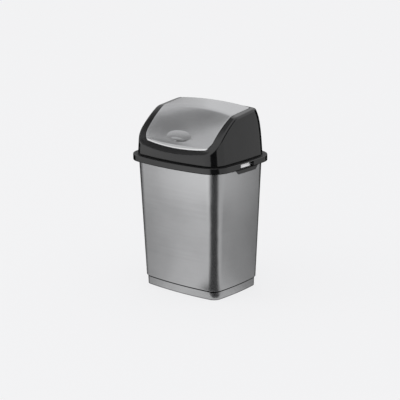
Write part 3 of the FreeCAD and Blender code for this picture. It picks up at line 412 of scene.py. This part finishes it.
links.new(tone, mirror.inputs["Color"])
mixed = nodes.new("ShaderNodeMixShader")
mirrored = combine(nodes, links, "MAXIMUM", path.outputs["Is Glossy Ray"],
                   path.outputs["Is Transmission Ray"])
links.new(mirrored, mixed.inputs["Fac"])
links.new(shown.outputs[0], mixed.inputs[1])
links.new(mirror.outputs[0], mixed.inputs[2])
links.new(mixed.outputs[0], nodes.new("ShaderNodeOutputMaterial").inputs["Surface"])
floor_mesh.materials.append(floor_finish)

world = bpy.data.worlds.new("pale_studio")
bpy.context.scene.world = world
world.use_nodes = True
sky = world.node_tree.nodes["Background"]
sky.inputs["Color"].default_value = pale_paper
sky.inputs["Strength"].default_value = 1.0


def only_reflected(piece):
    """Hidden from everything but reflections."""
    for kind in ("camera", "diffuse", "shadow", "transmission", "volume_scatter"):
        setattr(piece, "visible_" + kind, False)


def cloth(name, tone, veil):
    """Dark cloth; veil builds the share, from 0 to 1, that reflections see through."""
    finish = bpy.data.materials.new(name)
    finish.use_nodes = True
    nodes, links = finish.node_tree.nodes, finish.node_tree.links
    nodes.clear()
    parts = nodes.new("ShaderNodeSeparateXYZ")
    links.new(nodes.new("ShaderNodeTexCoord").outputs["Object"], parts.inputs["Vector"])
    shade = nodes.new("ShaderNodeEmission")
    shade.inputs["Color"].default_value = (tone, tone, tone, 1)
    mixed = nodes.new("ShaderNodeMixShader")
    links.new(veil(nodes, links, parts.outputs), mixed.inputs["Fac"])
    links.new(shade.outputs[0], mixed.inputs[1])
    links.new(nodes.new("ShaderNodeBsdfTransparent").outputs[0], mixed.inputs[2])
    links.new(mixed.outputs[0], nodes.new("ShaderNodeOutputMaterial").inputs["Surface"])
    return finish


cloth_lift = 0.0003


def curtain(name, middle, half_angle, soft_angle, near, far, top, soft_top, tone):
    """A bent cloth that lies on the floor from near to far and stands up at its far end.

    Angles are in degrees round the bin, from its front toward its right side.
    """
    mesh = bpy.data.meshes.new(name)
    work = bmesh.new()
    rows = []
    steps = 32
    for step in range(steps + 1):
        angle = math.radians((2 * step / steps - 1) * (half_angle + soft_angle))
        along = Vector((math.cos(angle), math.sin(angle), 0))
        rows.append([work.verts.new(spot) for spot in
                     (along * near, along * far, along * far + Vector((0, 0, top)))])
    for before, after in zip(rows, rows[1:]):
        for index in range(2):
            work.faces.new((before[index], before[index + 1], after[index + 1], after[index]))
    work.to_mesh(mesh)
    work.free()
    piece = bpy.data.objects.new(name, mesh)
    bpy.context.scene.collection.objects.link(piece)
    piece.rotation_euler.z = math.radians(middle - 90)
    piece.location.z = cad_low.z + cloth_lift
    only_reflected(piece)

    def veil(nodes, links, parts):
        angle = combine(nodes, links, "ABSOLUTE", combine(nodes, links, "ARCTAN2", parts["Y"], parts["X"]))
        sides = soft_step(nodes, links, angle, math.radians(half_angle - soft_angle),
                          math.radians(half_angle + soft_angle))
        above = soft_step(nodes, links, parts["Z"], top - soft_top, top)
        return combine(nodes, links, "MAXIMUM", sides, above)

    mesh.materials.append(cloth(name + "_cloth", tone, veil))


hood_height = 0.35


def card(name, turn, tilt, distance, wide, tall, slant, tone, strength):
    """An oval soft-edged cloth that hangs in one direction and faces the hood.

    turn goes round the bin from its front toward its right side, tilt goes up, and slant
    turns the oval in its own plane, all in degrees.
    """
    mesh = bpy.data.meshes.new(name)
    work = bmesh.new()
    bmesh.ops.create_circle(work, cap_ends=True, radius=1.0, segments=48)
    work.to_mesh(mesh)
    work.free()
    piece = bpy.data.objects.new(name, mesh)
    bpy.context.scene.collection.objects.link(piece)
    turn, tilt = math.radians(turn), math.radians(tilt)
    away = Vector((math.sin(turn) * math.cos(tilt), -math.cos(turn) * math.cos(tilt), math.sin(tilt)))
    piece.location = away * distance + Vector((0, 0, hood_height))
    piece.rotation_mode = "QUATERNION"
    in_plane = Quaternion((0, 0, 1), math.radians(slant))
    piece.rotation_quaternion = away.to_track_quat("Z", "Y") @ in_plane
    piece.scale = (wide, tall, 1)
    only_reflected(piece)

    def veil(nodes, links, parts):
        across = combine(nodes, links, "MULTIPLY", parts["X"], parts["X"])
        along = combine(nodes, links, "MULTIPLY", parts["Y"], parts["Y"])
        edge = soft_step(nodes, links, combine(nodes, links, "ADD", across, along), 0.0, 1.0)
        return combine(nodes, links, "MAXIMUM", edge, 1 - strength)

    mesh.materials.append(cloth(name + "_cloth", tone, veil))


# the stripe on the front right corner, and the dark outlines of the bin's far sides
curtain("front_mat", middle=45, half_angle=27, soft_angle=12, near=0.124, far=1.0,
        top=0.01, soft_top=0.005, tone=0.01)
curtain("front_curtain", middle=50, half_angle=21, soft_angle=5, near=1.0, far=1.6,
        top=1.2, soft_top=0.3, tone=0.004)
curtain("rear_curtain", middle=220, half_angle=60, soft_angle=5, near=0.9, far=1.6,
        top=0.8, soft_top=0.25, tone=0.01)

# the dark side of the hood, and the soft clouds across the flap
card("side_card", turn=92, tilt=34, distance=1.5, wide=1.1, tall=0.85, slant=0, tone=0.01, strength=1.0)
card("slope_card", turn=-81, tilt=54.5, distance=0.34, wide=0.25, tall=0.105, slant=134,
     tone=0.12, strength=0.8)
card("left_card", turn=-66, tilt=36, distance=0.34, wide=0.12, tall=0.085, slant=0,
     tone=0.12, strength=0.32)
card("crest_card", turn=-119, tilt=29, distance=0.31, wide=0.12, tall=0.09, slant=0,
     tone=0.12, strength=0.22)
card("low_card", turn=-50, tilt=40, distance=1.5, wide=0.6, tall=0.6, slant=0, tone=0.3, strength=0.2)

lamp_place = Vector((-1.3, -1.5, 1.9))
lamp_aim = Vector((0, 0, 0.2))
lamp = bpy.data.lights.new("soft_key", "AREA")
lamp.shape = "RECTANGLE"
lamp.size = 1.6
lamp.size_y = 1.2
lamp.energy = 6.0
key = bpy.data.objects.new("soft_key", lamp)
bpy.context.scene.collection.objects.link(key)
key.location = lamp_place
key.rotation_mode = "QUATERNION"
key.rotation_quaternion = (lamp_place - lamp_aim).to_track_quat("Z", "Y")
key.visible_glossy = False

# The camera: it stands to the front right and a little above the bin, in the photograph's
# own direction and distance, which were found by fitting the bin's outlines to it.

camera_azimuth = 39.69
camera_elevation = 15.52
camera_distance = 2.782
camera_roll = -0.456
aim_aside = -0.00094
aim_height = 0.18524
focal_length = 118.556

camera = bpy.data.objects.new("camera", bpy.data.cameras.new("camera"))
bpy.context.scene.collection.objects.link(camera)
bpy.context.scene.camera = camera
turn, tilt = math.radians(camera_azimuth), math.radians(camera_elevation)
back = Vector((math.sin(turn) * math.cos(tilt), -math.cos(turn) * math.cos(tilt), math.sin(tilt)))
right = Vector((math.cos(turn), math.sin(turn), 0))
camera.location = right * aim_aside + Vector((0, 0, aim_height)) + back * camera_distance
camera.rotation_mode = "QUATERNION"
roll = Quaternion((0, 0, 1), math.radians(camera_roll))
camera.rotation_quaternion = (-back).to_track_quat("-Z", "Y") @ roll
camera.data.sensor_width = 36
camera.data.lens = focal_length
camera.data.clip_end = 100

bpy.context.scene.view_settings.view_transform = "Standard"
